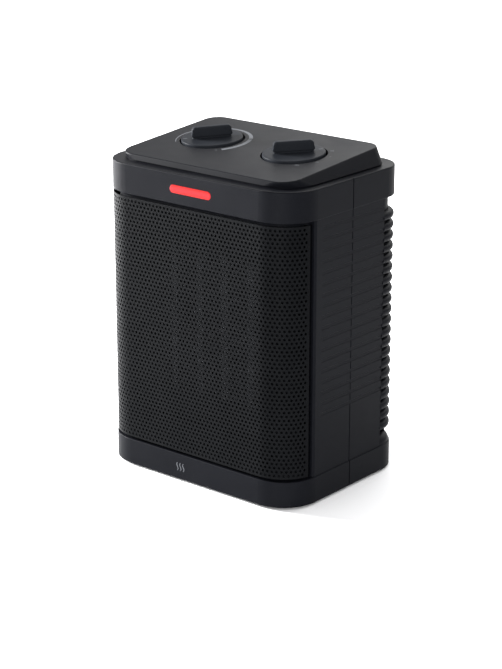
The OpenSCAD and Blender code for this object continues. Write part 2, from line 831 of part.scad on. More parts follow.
// The grip's side view is a bar that narrows upwards, with rounded corners, over a narrower neck
module grip() {
    z0 = knob_proud + grip_neck[1];
    top_r = 3;
    low_r = 1.6;
    half = grip_len / 2;
    top_half = half - grip_taper;
    translate([-half + grip_neck[0] / 2, -grip_t / 2 + grip_neck[0] / 2, knob_proud - 1])
        cube([grip_len - grip_neck[0], grip_t - grip_neck[0], grip_neck[1] + 2]);
    translate([0, grip_t / 2, 0]) rotate([90, 0, 0]) linear_extrude(grip_t) {
        polygon([
            [-half, z0 + low_r], [-half + low_r, z0], [half - low_r, z0], [half, z0 + low_r],
            [top_half, grip_top - top_r], [top_half - top_r, grip_top],
            [-top_half + top_r, grip_top], [-top_half, grip_top - top_r]
        ]);
        mirrored_x() {
            translate([half - low_r, z0 + low_r]) circle(low_r);
            translate([top_half - top_r, grip_top - top_r]) circle(top_r);
        }
    }
}

module thermostat_knob() color(black_plastic) at_knob(-1) knob(grip_angle_left);
module mode_knob() color(black_plastic) at_knob(1) knob(grip_angle_right);

module stem() {
    translate([0, 0, -well_under - control_body_h + 2])
        cylinder(h = stem_top + well_under + control_body_h - 2, r = stem_r);
}

module thermostat_shaft() color(steel) at_knob(-1) stem();
module mode_switch_shaft() color(steel) at_knob(1) stem();

module stem_bore() {
    translate([0, 0, -well_under - control_body_h + 2]) cylinder(h = control_body_h, r = stem_r + stem_fit);
}

module control_screw_holes() {
    for (a = [0, 180]) rotate([0, 0, a]) translate([control_screw_at, 0, -well_under - 3])
        cylinder(h = 3, r = control_screw_r + 0.1);
}

// The flanged plate that screws each control to the panel
module control_plate() {
    translate([-control_plate_w / 2, -control_d / 2, -well_under - control_drop - control_plate_t])
        cube([control_plate_w, control_d, control_plate_t]);
}

module thermostat_body() color("tan") at_knob(-1) difference() {
    union() {
        control_plate();
        translate([-control_w / 2, -control_d / 2, -well_under - control_body_h])
            cube([control_w, control_d, control_body_h - 2]);
    }
    stem_bore();
    control_screw_holes();
}

module mode_switch_body() color(inner_plastic) at_knob(1) difference() {
    union() {
        control_plate();
        translate([0, 0, -well_under - control_body_h]) intersection() {
            cylinder(h = control_body_h - 2, r = switch_r);
            translate([-control_w / 2, -reach / 2, 0]) cube([control_w, reach, control_body_h]);
        }
    }
    stem_bore();
    control_screw_holes();
}

module control_screws() color(steel) at_controls() for (a = [0, 180]) rotate([0, 0, a])
    translate([control_screw_at, 0, -well_under - 3]) {
        translate([0, 0, -1.5]) cylinder(h = 1.5, r = 2.4);
        cylinder(h = 4, r = control_screw_r - 0.3);
    }

module indicator_lens() color([0.95, 0.15, 0.12]) {
    translate([-lens_w / 2, front_y - lens_proud, lens_z - lens_h / 2]) lens_block(wall + lens_proud, 0);
    translate([-lens_w / 2 - 2, front_y + wall, lens_z - lens_h / 2 - 2])
        cube([lens_w + 4, 1.2, lens_h + 4]);
}

module indicator_board() color(board_green) difference() {
    union() {
        translate([-28, board_y, lens_z - 7]) cube([56, 1.6, 13]);
        for (x = [-25, 25]) along_y(x, front_y + wall, lens_z) cylinder(h = board_y - front_y - wall, r = 2);
    }
    for (x = [-25, 25]) along_y(x, board_y - 4, lens_z) cylinder(h = 8, r = 1);
}

module indicator_lamps() color("tomato") for (x = [-12, 0, 12])
    along_y(x, front_y + wall + 2.2, lens_z) cylinder(h = board_y - front_y - wall - 2.2, r = 2);

// ---- safety devices and wiring ----

module tip_switch_body() color(inner_plastic) translate([tip_at[0], tip_at[1], floor_z]) difference() {
    translate([-tip_size[0] / 2, -tip_size[1] / 2, 0]) cube(tip_size);
    translate([0, 0, -1]) cylinder(h = 12, r = tip_r + tip_fit);
    translate([0, 0, 5]) cylinder(h = 14, r = tip_r + 2);
}

module tip_plunger() color("whitesmoke") translate([tip_at[0], tip_at[1], 0]) {
    translate([0, 0, 0.3]) cylinder(h = floor_z + 16, r = tip_r);
    translate([0, 0, floor_z + 5 + tip_travel + 0.3]) cylinder(h = 2, r = tip_r + 1.6);
}

module thermal_cutout() color("ivory")
    translate([0, frame_y1 - 12, core_z - frame_h / 2]) mirror([0, 0, 1]) {
        translate([-12, -4, 0]) cube([24, 8, 1]);
        translate([0, 0, 1]) cylinder(h = 7, r = 7.5);
    }

module thermal_fuse() color("silver") translate([-frame_w / 2 - 2.2, core_y0 + 12, core_z]) {
    cylinder(h = 13, r = 2.2, center = true);
    cylinder(h = 40, r = 0.6, center = true);
}

module terminal_block() color("whitesmoke") translate([block_at[0], block_at[1], floor_z]) difference() {
    translate([-block_size[0] / 2, -block_size[1] / 2, 0]) cube(block_size);
    for (x = [-1:1]) translate([x * block_pitch, 0, block_size[2] - block_hole])
        cylinder(h = block_hole + 1, r = 2.2);
}

module cord_gland() color(black_plastic) difference() {
    union() {
        along_y(gland_x, rear_y - gland_sink, gland_z) cylinder(h = gland_sink + lens_proud, r = gland_rim);
        along_y(gland_x, gland_y0, gland_z) cylinder(h = rear_y - gland_y0, r = gland_r);
        along_y(gland_x, gland_y0, gland_z)
            cylinder(h = rear_y + base_proud - wall - gland_y0, r = gland_r + 1.5);
    }
    along_y(gland_x, gland_y0 - 1, gland_z) cylinder(h = reach, r = gland_bore);
}

// From the terminal block over the screw well, up the left side and across to the thermostat
module mains_leads() color("gray") for (k = [0, 1]) {
    x0 = block_at[0] - block_size[0] / 2;
    x1 = -side_x + 10 + 4 * k;
    x2 = -knob_span / 2 - 11.5;
    y0 = block_at[1] - 4 + 6 * k;
    y1 = knob_y - 3 + 6 * k;
    z0 = floor_z + 6;
    z1 = screw_zs[0] + 11;
    z2 = cross_z - 4 * k;
    lead([
        [x0, y0, z0], [x0 - 5, y0, z0], [x0 - 5, y0, z1], [x1, y0, z1], [x1, y0, z2],
        [x1, y1, z2], [x2, y1, z2], [x2, y1, tap_z], [-tap_x - 16, y1, tap_z]
    ], 1.2);
}

// The outer rows are fed from the two controls and the inner ones are joined to each other
module element_leads() color("ivory") {
    z = core_z + row_h / 2 + frame_wall + blade_up - 1.5;
    y = terminal_y + terminal_t / 2;
    last = row_count - 1;
    for (side = [-1, 1]) {
        x = side * row_x(last);
        x1 = side * (tap_x - 5.4);
        lead([
            [x, y, z], [x, lead_back_y, z], [x1, lead_back_y, z], [x1, lead_back_y, tap_z],
            [x1, knob_y, tap_z], [side * tap_x, knob_y, tap_z]
        ], 1);
    }
    lead([
        [row_x(1), y, z], [row_x(1), lead_back_y, z],
        [row_x(last - 1), lead_back_y, z], [row_x(last - 1), y, z]
    ], 1);
}

module motor_leads() color("ivory") for (k = [0, 1]) {
    x = 8 - 16 * k;
    x1 = block_at[0] + block_pitch * (1 - k);
    y = core_plate_y + motor_depth + 3;
    y1 = y + 6 + 3 * k;
    z = core_z - 30;
    z1 = block_top + 14 + 5 * k;
    lead([
        [x, y, z], [x, y1, z], [x, y1, z1], [x1, y1, z1],
        [x1, block_at[1], z1], [x1, block_at[1], block_top - block_hole]
    ], 0.9);
}

module indicator_leads() color("firebrick") for (side = [-1, 1]) {
    y1 = knob_y + 5;
    lead([[side * 20, board_y + 1.6, lens_z], [side * 20, y1, lens_z], [side * tap_x, y1, lens_z]], 0.8);
}

module rubber_feet() color([0.1, 0.1, 0.1]) at_feet() cylinder(h = foot_h + foot_sink, r = foot_r);

// ---- fasteners ----

module screw(length, r, head_r, head_h) {
    translate([0, 0, -length]) cylinder(h = length, r = r);
    cylinder(h = head_h, r = head_r);
}

module housing_screws() color(steel) at_screws() along_y(0, seam_y + 3, 0)
    screw(screw_len, pilot_r, screw_head_r, screw_head_h);

module shroud_screws() color(steel) at_shroud_screws() along_y(0, plate_y1, 0)
    screw(shroud_screw_len, pilot_r, screw_head_r, screw_head_h);

module motor_screws() color(steel) at_motor_bolts() along_y(0, motor_back, 0)
    screw(motor_back - spoke_y, pilot_r, screw_head_r, screw_head_h);

front_housing();
rear_housing();
control_panel();
front_grille();
air_duct();
element_frame();
ptc_tubes();
ptc_stones();
ptc_fins();
element_terminals();
fan_shroud();
motor_core();
motor_coil();
motor_bridges();
motor_rotor();
motor_shaft();
fan_impeller();
thermostat_body();
thermostat_shaft();
thermostat_knob();
mode_switch_body();
mode_switch_shaft();
mode_knob();
indicator_lens();
indicator_board();
indicator_lamps();
tip_switch_body();
tip_plunger();
thermal_cutout();
thermal_fuse();
terminal_block();
cord_gland();
mains_leads();
element_leads();
motor_leads();
indicator_leads();
rubber_feet();
housing_screws();
motor_screws();
shroud_screws();
control_screws();
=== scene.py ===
"""Desktop ceramic fan heater: finishes, refined pieces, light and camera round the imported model.

Every length is in metres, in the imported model's own frame: +Z is up and the hot air leaves towards -Y.
"""

import json
import logging
import math
from abc import ABC, abstractmethod
from collections.abc import Sequence
from dataclasses import dataclass
from enum import Enum
from typing import Any

import bmesh
import bpy
from mathutils import Matrix, Vector


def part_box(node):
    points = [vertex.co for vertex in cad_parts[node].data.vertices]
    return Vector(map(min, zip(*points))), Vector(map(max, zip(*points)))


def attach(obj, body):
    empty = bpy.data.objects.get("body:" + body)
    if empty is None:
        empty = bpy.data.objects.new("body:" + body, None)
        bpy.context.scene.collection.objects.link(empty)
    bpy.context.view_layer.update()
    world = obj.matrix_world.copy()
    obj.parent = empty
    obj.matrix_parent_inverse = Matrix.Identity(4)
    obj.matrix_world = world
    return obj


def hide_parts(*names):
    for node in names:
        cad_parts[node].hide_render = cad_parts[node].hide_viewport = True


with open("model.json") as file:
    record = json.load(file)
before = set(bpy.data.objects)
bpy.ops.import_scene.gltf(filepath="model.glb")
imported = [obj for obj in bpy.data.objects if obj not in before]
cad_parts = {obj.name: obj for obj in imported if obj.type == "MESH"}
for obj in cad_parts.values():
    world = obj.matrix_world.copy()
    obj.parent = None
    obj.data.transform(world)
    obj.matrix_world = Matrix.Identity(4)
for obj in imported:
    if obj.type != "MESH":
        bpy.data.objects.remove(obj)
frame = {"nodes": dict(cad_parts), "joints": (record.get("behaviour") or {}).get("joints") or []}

MM = 0.001
FULL_TURN = 2 * math.pi
HALF_PI = math.pi / 2
INK_DEPTH = 0.03 * MM
log = logging.getLogger("heater")


class Body(str, Enum):
    """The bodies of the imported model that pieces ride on."""

    HOUSING = "housing"
    THERMOSTAT = "thermostat_dial"
    MODE = "mode_dial"


# ---- shared tools ----


def linear(colour: str) -> tuple[float, float, float, float]:
    """Turns an sRGB hex colour into the linear values that shaders take.

    Args:
        colour: six hex digits after a hash sign.

    Returns:
        Red, green, blue and an alpha of 1.
    """
    parts = [int(colour[i : i + 2], 16) / 255 for i in (1, 3, 5)]
    red, green, blue = (p / 12.92 if p <= 0.04045 else ((p + 0.055) / 1.055) ** 2.4 for p in parts)
    return red, green, blue, 1.0


def add(
    tree: bpy.types.NodeTree, kind: str, settings: dict[str, Any] | None = None, **inputs: Any
) -> bpy.types.Node:
    """Adds a node with its settings and links.

    Args:
        tree: the node tree that it goes into.
        kind: the node's type.
        settings: the node's own properties by name.
        **inputs: values or output sockets by input name, with _ for a space; in_N is input number N.

    Returns:
        The new node.
    """
    node = tree.nodes.new(kind)
    for key, value in (settings or {}).items():
        setattr(node, key, value)
    for key, value in inputs.items():
        place = int(key[3:]) if key.startswith("in_") else key.replace("_", " ")
        if isinstance(value, bpy.types.NodeSocket):
            tree.links.new(value, node.inputs[place])
        else:
            node.inputs[place].default_value = value
    return node


def new_material(name: str) -> tuple[bpy.types.Material, bpy.types.NodeTree]:
    """Makes an empty node material.

    Args:
        name: the real material and how its surface was made.

    Returns:
        The material and its cleared node tree.
    """
    material = bpy.data.materials.new(name)
    material.use_nodes = True
    material.node_tree.nodes.clear()
    return material, material.node_tree


def place_noise(tree: bpy.types.NodeTree, size: float, detail: float = 2.0) -> bpy.types.Node:
    """Adds noise whose spots are of a real size.

    Args:
        tree: the node tree that it goes into.
        size: width of one spot, in metres.
        detail: how many finer layers the noise has.

    Returns:
        The noise node.
    """
    place = add(tree, "ShaderNodeTexCoord")
    return add(
        tree,
        "ShaderNodeTexNoise",
        Vector=place.outputs["Object"],
        Scale=1 / size,
        Detail=detail,
        Roughness=0.6,
    )


# ---- finishes ----

# Nearly all of a noise output lies in its middle, which is spread over the wanted range
NOISE_MIDDLE = {"From_Min": 0.3, "From_Max": 0.7}


@dataclass(frozen=True)
class Finish(ABC):
    """A surface that drifts between two shades and carries a fine relief."""

    name: str
    colour: str
    second: str

    @abstractmethod
    def make(self) -> bpy.types.Material:
        """Builds the material."""

    def shade(
        self,
        tree: bpy.types.NodeTree,
        patches: bpy.types.Node,
        relief: bpy.types.Node,
        depth: float,
        sheen: bpy.types.Node,
        roughness: tuple[float, float],
        strength: float = 1.0,
        **inputs: float,
    ) -> None:
        """Joins the shades, the relief and the gloss in one shader.

        Args:
            tree: the material's nodes.
            patches: noise that picks between the two shades.
            relief: noise that raises the surface.
            depth: how high it is raised, in metres.
            sheen: noise that varies the gloss.
            roughness: the least and the greatest roughness.
            strength: how much of the relief shows.
            **inputs: the shader's other inputs.
        """
        share = add(tree, "ShaderNodeMapRange", Value=patches.outputs["Fac"], **NOISE_MIDDLE)
        tone = add(
            tree,
            "ShaderNodeMix",
            {"data_type": "RGBA"},
            in_0=share.outputs["Result"],
            in_6=linear(self.colour),
            in_7=linear(self.second),
        )
        rough = add(
            tree,
            "ShaderNodeMapRange",
            Value=sheen.outputs["Fac"],
            To_Min=roughness[0],
            To_Max=roughness[1],
            **NOISE_MIDDLE,
        )
        bump = add(tree, "ShaderNodeBump", Strength=strength, Distance=depth, Height=relief.outputs["Fac"])
        shader = add(
            tree,
            "ShaderNodeBsdfPrincipled",
            Base_Color=tone.outputs[2],
            Roughness=rough.outputs["Result"],
            Normal=bump.outputs["Normal"],
            **inputs,
        )
        add(tree, "ShaderNodeOutputMaterial", Surface=shader.outputs["BSDF"])


@dataclass(frozen=True)
class MouldedPlastic(Finish):
    """A thermoplastic from a mould with a spark-eroded face."""

    roughness: float = 0.45
    grain: float = 0.8 * MM
    relief: float = 0.012 * MM
    gloss: float = 0.04
    haze: float = 35 * MM
    swing: float = 0.03

    def make(self) -> bpy.types.Material:
        """Builds the material: a fine even grain breaks up the gloss, and the colour hardly varies."""
        material, tree = new_material(self.name)
        # The eroded grain is about 0.1 mm, too fine to show, so it is drawn several times as coarse
        grain = place_noise(tree, self.grain)
        haze = place_noise(tree, self.haze)
        rough = (self.roughness - self.swing, self.roughness + self.swing)
        self.shade(tree, haze, grain, self.relief, haze, rough, IOR=1.5, Specular_IOR_Level=self.gloss)
        return material


@dataclass(frozen=True)
class Metal(Finish):
    """Bare metal with the fine streaks of rolling or drawing."""

    roughness: float = 0.35
    streak: float = 0.6 * MM
    along: tuple[float, float, float] = (1.0, 1.0, 0.06)
    stain: float = 12 * MM
    relief: float = 0.01 * MM
    swing: float = 0.08

    def make(self) -> bpy.types.Material:
        """Builds the material: long streaks in the gloss show the direction of rolling."""
        material, tree = new_material(self.name)
        place = add(tree, "ShaderNodeTexCoord")
        stretch = add(tree, "ShaderNodeMapping", Vector=place.outputs["Object"], Scale=self.along)
        streaks = add(
            tree, "ShaderNodeTexNoise", Vector=stretch.outputs["Vector"], Scale=1 / self.streak, Detail=3.0
        )
        stain = place_noise(tree, self.stain)
        rough = (self.roughness - self.swing, self.roughness + self.swing)
        self.shade(tree, stain, streaks, self.relief, streaks, rough, 0.6, Metallic=1.0)
        return material


@dataclass(frozen=True)
class PowderCoat(Finish):
    """Steel sheet under baked powder paint."""

    roughness: float = 0.4
    peel: float = 1.4 * MM
    gloss: float = 0.04
    batch: float = 25 * MM
    relief: float = 0.02 * MM
    swing: float = 0.05

    def make(self) -> bpy.types.Material:
        """Builds the material: the paint's orange peel makes soft uneven glints along every web."""
        material, tree = new_material(self.name)
        peel = place_noise(tree, self.peel)
        batch = place_noise(tree, self.batch)
        rough = (self.roughness - self.swing, self.roughness + self.swing)
        self.shade(tree, batch, peel, self.relief, peel, rough, IOR=1.5, Specular_IOR_Level=self.gloss)
        return material


@dataclass(frozen=True)
class Fired(Finish):
    """Ceramic, rubber, resin or enamel: a dense matt body with specks in it."""

    roughness: float = 0.6
    grit: float = 1.2 * MM
    relief: float = 0.02 * MM

    def make(self) -> bpy.types.Material:
        """Builds the material: small specks and a faint pitting keep it from looking like plain paint."""
        material, tree = new_material(self.name)
        specks = place_noise(tree, self.grit, detail=4.0)
        self.shade(tree, specks, specks, self.relief, specks, (self.roughness, self.roughness), IOR=1.5)
        return material


@dataclass(frozen=True)
class LitLens:
    """A frosted red polycarbonate light bar with lamps behind it."""

    name: str
    rim: str
    core: str
    centre: Vector
    half_height: float
    glow: float = 0.95

    def make(self) -> bpy.types.Material:
        """Builds the material: it glows a deep red at its rim and paler along its middle."""
        material, tree = new_material(self.name)
        place = add(tree, "ShaderNodeTexCoord")
        split = add(tree, "ShaderNodeSeparateXYZ", Vector=place.outputs["Object"])
        height = add(
            tree, "ShaderNodeMath", {"operation": "SUBTRACT"}, in_0=split.outputs["Z"], in_1=self.centre.z
        )
        away = add(tree, "ShaderNodeMath", {"operation": "ABSOLUTE"}, in_0=height.outputs[0])
        edge = add(
            tree,
            "ShaderNodeMapRange",
            {"interpolation_type": "SMOOTHSTEP"},
            Value=away.outputs[0],
            From_Min=0.0,
            From_Max=self.half_height,
        )
        frost = place_noise(tree, 2 * MM)
        rough = add(
            tree, "ShaderNodeMapRange", Value=frost.outputs["Fac"], To_Min=0.25, To_Max=0.4, **NOISE_MIDDLE
        )
        glow = add(
            tree,
            "ShaderNodeMix",
            {"data_type": "RGBA"},
            in_0=edge.outputs["Result"],
            in_6=linear(self.core),
            in_7=linear(self.rim),
        )
        shader = add(
            tree,
            "ShaderNodeBsdfPrincipled",
            Base_Color=linear("#5A0A0A"),
            Roughness=rough.outputs["Result"],
            IOR=1.58,
            Specular_IOR_Level=0.1,
            Emission_Color=glow.outputs[2],
            Emission_Strength=self.glow,
        )
        add(tree, "ShaderNodeOutputMaterial", Surface=shader.outputs["BSDF"])
        return material


# ---- mesh tools ----


def loft(bm: bmesh.types.BMesh, rings: Sequence[Sequence[Vector]], closed: bool = True) -> list[list[Any]]:
    """Joins rings of points with quads.

    Args:
        bm: the mesh that it goes into.
        rings: rings of equal length, in order.
        closed: whether each ring ends where it starts.

    Returns:
        The rings of mesh vertices.
    """
    made = [[bm.verts.new(p) for p in ring] for ring in rings]
    count = len(rings[0])
    for low, high in zip(made, made[1:]):
        for i in range(count if closed else count - 1):
            j = (i + 1) % count
            bm.faces.new((low[i], low[j], high[j], high[i]))
    return made


def plan_loop(
    half: float, front: float, rear: float, front_r: float, rear_r: float, steps: int = 14
) -> list[tuple[float, float]]:
    """Points of a rounded rectangle in plan, anticlockwise from the right front corner.

    Args:
        half: half of its width.
        front: its lowest Y.
        rear: its highest Y.
        front_r: radius of the front corners.
        rear_r: radius of the rear corners.
        steps: how many spans each corner has.

    Returns:
        The points in order.
    """
    corners = (
        (half - front_r, front + front_r, front_r, -90),
        (half - rear_r, rear - rear_r, rear_r, 0),
        (-half + rear_r, rear - rear_r, rear_r, 90),
        (-half + front_r, front + front_r, front_r, 180),
    )
    points = []
    for x, y, radius, start in corners:
        for k in range(steps + 1):
            turn = math.radians(start + 90 * k / steps)
            points.append((x + radius * math.cos(turn), y + radius * math.sin(turn)))
    return points


def circle(radius: float, z: float, steps: int, centre: tuple[float, float] = (0.0, 0.0)) -> list[Vector]:
    """Points of a level circle, anticlockwise.

    Args:
        radius: its radius.
        z: its height.
        steps: how many points it has.
        centre: its middle in plan.

    Returns:
        The points in order.
    """
    return [
        Vector(
            (
                centre[0] + radius * math.cos(FULL_TURN * k / steps),
                centre[1] + radius * math.sin(FULL_TURN * k / steps),
                z,
            )
        )
        for k in range(steps)
    ]


def finish_piece(
    name: str,
    bm: bmesh.types.BMesh,
    body: Body,
    material: bpy.types.Material,
    place: Matrix | None = None,
    sharp: float = 40.0,
) -> bpy.types.Object:
    """Turns mesh data into a piece that rides on a body.

    Args:
        name: the piece's name.
        bm: its mesh data, which is freed.
        body: what it moves with.
        material: its finish.
        place: where its own frame lies.
        sharp: edges that turn more than this many degrees stay sharp.

    Returns:
        The new object.
    """
    bmesh.ops.remove_doubles(bm, verts=bm.verts, dist=0.001 * MM)
    bmesh.ops.recalc_face_normals(bm, faces=bm.faces)
    if place is not None:
        bm.transform(place)
    mesh = bpy.data.meshes.new(name)
    bm.to_mesh(mesh)
    bm.free()
    mesh.materials.append(material)
    mesh.polygons.foreach_set("use_smooth", [True] * len(mesh.polygons))
    mesh.set_sharp_from_angle(angle=math.radians(sharp))
    piece = bpy.data.objects.new(name, mesh)
    bpy.context.collection.objects.link(piece)
    weighted = piece.modifiers.new("even normals", "WEIGHTED_NORMAL")
    weighted.keep_sharp = True
    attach(piece, body.value)
    log.info("%s: %d faces, on %s", name, len(mesh.polygons), body.value)
    return piece


def dress(material: bpy.types.Material, *nodes: str) -> None:
    """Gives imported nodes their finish.

    Args:
        material: the finish.
        *nodes: the names of the nodes.
    """
    for name in nodes:
        data = frame["nodes"][name].data
        data.materials.clear()
        data.materials.append(material)
        log.info("%s: dressed as %s", name, material.name)


def joint_place(name: str) -> Matrix:
    """The frame of a hinge: its origin on the joint, its Z along the axis and its X level.

    Args:
        name: the joint's name.

    Returns:
        The matrix from that frame to the model's.
    """
    joint = next(j for j in frame["joints"] if j["name"] == name)
    up = Vector(joint["axis"]).normalized()
    side = Vector((1.0, 0.0, 0.0))
    back = up.cross(side).normalized()
    turn = Matrix((side, back, up)).transposed().to_4x4()
    return Matrix.Translation(Vector(joint["pos_m"])) @ turn


# ---- studio ----


@dataclass(frozen=True)
class SoftBox:
    """A square soft light."""

    name: str
    place: tuple[float, float, float]
    size: float
    power: float

    def hang(self, aim: Vector) -> None:
        """Hangs the light so that it faces a point.

        Args:
            aim: the point.
        """
        data = bpy.data.lights.new(self.name, "AREA")
        data.shape = "SQUARE"
        data.size = self.size
        data.energy = self.power
        lamp = bpy.data.objects.new(self.name, data)
        lamp.location = self.place
        away = Vector(self.place) - aim
        lamp.rotation_euler = away.to_track_quat("Z", "Y").to_euler()
        bpy.context.collection.objects.link(lamp)


# The top box gives the sloping panel its sheen, the left box lights the left front corner, and the front
# box draws the soft band down the right one
SOFT_BOXES = (
    SoftBox("top_box", (-0.3, 1.6, 1.6), 2.4, 50.0),
    SoftBox("left_box", (-1.5, -0.4, 0.6), 0.5, 130.0),
    SoftBox("front_box", (0.66, -1.35, 0.4), 0.3, 12.0),
)


@dataclass
class Studio:
    """The floor, the soft lights and the camera."""

    azimuth: float = 39.749
    elevation: float = 18.325
    distance: float = 1.485
    look_at: tuple[float, float, float] = (0.0, 0.0, 0.1013)
    lens: float = 105.57
    floor_half: float = 6.0
    room: float = 0.85

    def build(self) -> None:
        """Makes everything that isn't part of the object."""
        bpy.context.scene.view_settings.view_transform = "Standard"
        self.floor()
        self.lights()
        self.camera()

    def floor(self) -> None:
        """Lays a plain pale floor."""
        bm = bmesh.new()
        h = self.floor_half
        bm.faces.new([bm.verts.new((x, y, 0.0)) for x, y in ((-h, -h), (h, -h), (h, h), (-h, h))])
        mesh = bpy.data.meshes.new("studio_floor")
        bm.to_mesh(mesh)
        bm.free()
        material, tree = new_material("studio paper")
        shader = add(tree, "ShaderNodeBsdfPrincipled", Base_Color=linear("#F4F4F5"), Roughness=0.9)
        add(tree, "ShaderNodeOutputMaterial", Surface=shader.outputs["BSDF"])
        mesh.materials.append(material)
        piece = bpy.data.objects.new("studio_floor", mesh)
        bpy.context.collection.objects.link(piece)

    def lights(self) -> None:
        """Hangs the soft boxes and sets the room's own light."""
        world = bpy.data.worlds.new("studio")
        bpy.context.scene.world = world
        world.use_nodes = True
        background = world.node_tree.nodes["Background"]
        background.inputs["Color"].default_value = linear("#FFFFFF")
        background.inputs["Strength"].default_value = self.room
        for box in SOFT_BOXES:
            box.hang(Vector(self.look_at))

    def camera(self) -> None:
        """Stands the camera at the wanted angle."""
        turn, tilt = math.radians(self.azimuth), math.radians(self.elevation)
        back = Vector(
            (math.sin(turn) * math.cos(tilt), -math.cos(turn) * math.cos(tilt), math.sin(tilt))
        )
        data = bpy.data.cameras.new("camera")
        data.lens = self.lens
        data.sensor_width = 36.0
        data.clip_start = 0.05
        camera = bpy.data.objects.new("camera", data)
        camera.location = Vector(self.look_at) + back * self.distance
        camera.rotation_mode = "QUATERNION"
        camera.rotation_quaternion = (-back).to_track_quat("-Z", "Y")
        bpy.context.collection.objects.link(camera)
        bpy.context.scene.camera = camera


# ---- the control panel and its knobs ----


@dataclass
class ControlPanel:
    """The sloping panel with its two wells and printed marks."""

    material: bpy.types.Material
    ink: bpy.types.Material
    taper_side: float = 4.7 * MM
    taper_front: float = 0.9 * MM
    taper_rear: float = 2.6 * MM
    base_corners: tuple[float, float] = (26.5 * MM, 15.0 * MM)
    top_corners: tuple[float, float] = (15.1 * MM, 12.2 * MM)
    edge: float = 1.1 * MM
    foot_gap: float = 1.2 * MM
    turned_in: float = 3.0 * MM
    lift: float = 0.02 * MM
    well_r: float = 24.5 * MM
    well_depth: float = 6.0 * MM
    rim: float = 0.5 * MM
    stem_hole: float = 3.6 * MM
    well_steps: int = 96
    scale_start: float = 225.0
    scale_end: float = -36.0
    scale_notch: tuple[float, float] = (30.0, 27.0)
    scale_thin: tuple[float, float] = (27.0 * MM, 27.5 * MM)
    scale_growth: tuple[float, float] = (0.9 * MM, 4.2 * MM)
    stop_mark: tuple[float, float] = (30.0 * MM, -44.0)
    mode_r: float = 28.0 * MM
    mode_turns: tuple[float, ...] = (46.0, 16.0, -15.0, -47.0)
    wave_gap: float = 1.3 * MM
    wave_height: float = 2.6 * MM
    wave_sway: float = 0.25 * MM

    def build(self) -> None:
        """Models the panel, replaces the plain one and prints its marks."""
        low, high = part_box("control_panel")
        left, right = joint_place("thermostat_turn"), joint_place("mode_turn")
        plane = left.copy()
        plane.translation = plane @ Vector((-left.translation.x, -left.translation.y / left[1][1], 0.0))
        half, front, rear = high.x, low.y, high.y
        ledge = frame_top()
        bm = bmesh.new()

        def base_ring(inset: float, z: float) -> list[Vector]:
            """The panel's outline where it meets the ledge."""
            loop = plan_loop(
                half - inset,
                front + inset,
                rear - inset,
                self.base_corners[0] - inset,
                self.base_corners[1] - inset,
            )
            return [Vector((x, y, z)) for x, y in loop]

        def top_ring(inset: float, drop: float) -> list[Vector]:
            """The panel's outline at its sloping face."""
            loop = plan_loop(
                half - self.taper_side - inset,
                front + self.taper_front + inset,
                rear - self.taper_rear - inset,
                self.top_corners[0] - inset,
                self.top_corners[1] - inset,
            )
            return [plane @ Vector((x, y, -drop)) for x, y in loop]

        foot = base_ring(0.0, ledge + self.foot_gap)
        crest = top_ring(0.0, 0.6 * self.edge)
        blend = [a.lerp(b, 0.93) for a, b in zip(foot, crest)]
        rings = [
            base_ring(self.turned_in, ledge + self.lift),
            base_ring(0.7 * MM, ledge + self.lift),
            base_ring(0.6 * MM, ledge + 0.8 * self.foot_gap),
            base_ring(0.15 * MM, ledge + 0.9 * self.foot_gap),
            foot,
            blend,
            crest,
            top_ring(0.25 * self.edge, 0.25 * self.edge),
            top_ring(0.6 * self.edge, 0.05 * self.edge),
            top_ring(self.edge, 0.0),
        ]
        edge_loop = loft(bm, rings)[-1]
        wells = [self.well(bm, place) for place in (left, right)]
        edges = []
        for ring in (edge_loop, *wells):
            edges += [bm.edges.get((a, b)) for a, b in zip(ring, ring[1:] + ring[:1])]
        bmesh.ops.triangle_fill(bm, edges=edges, use_beauty=True, use_dissolve=False)
        piece = finish_piece("sloping_panel", bm, Body.HOUSING, self.material, sharp=50.0)
        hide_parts("control_panel")
        self.prints(left, right)

    def well(self, bm: bmesh.types.BMesh, place: Matrix) -> list[Any]:
        """Sinks one round well.

        Args:
            bm: the panel's mesh.
            place: the knob's frame.

        Returns:
            The vertices of the well's outer rim, in the panel's face.
        """
        r, rim, deep = self.well_r, self.rim, self.well_depth
        profile = (
            (r + rim, 0.0),
            (r + 0.4 * rim, -0.1 * rim),
            (r + 0.1 * rim, -0.4 * rim),
            (r, -rim),
            (r, -deep + 1 * MM),
            (r - 1 * MM, -deep),
            (self.stem_hole, -deep),
            (self.stem_hole, -deep - 1.5 * MM),
        )
        rings = [[place @ p for p in circle(radius, z, self.well_steps)] for radius, z in profile]
        return loft(bm, rings)[0]

    def prints(self, left: Matrix, right: Matrix) -> None:
        """Prints the thermostat's growing arc and the four switch positions.

        Args:
            left: the thermostat knob's frame.
            right: the mode knob's frame.
        """
        bm = bmesh.new()
        self.arc(bm, left, self.scale_start, self.scale_notch[0])
        self.arc(bm, left, self.scale_notch[1], self.scale_end)
        radius, turn = self.stop_mark
        self.mark(bm, left, [polar(radius, turn + d) for d in (-1.2, 1.2)], 0.45 * MM)
        finish_piece("thermostat_scale", bm, Body.HOUSING, self.ink)
        bm = bmesh.new()
        for waves, turn in enumerate(self.mode_turns):
            x, y = polar(self.mode_r, turn)
            if waves == 0:
                ring = [polar(1.1 * MM, a) for a in range(0, 361, 30)]
                self.mark(bm, right @ Matrix.Translation(Vector((x, y, 0.0))), ring, 0.2 * MM)
            for k in range(waves):
                self.wave(bm, right, x + (k - (waves - 1) / 2) * self.wave_gap, y)
        finish_piece("mode_marks", bm, Body.HOUSING, self.ink)

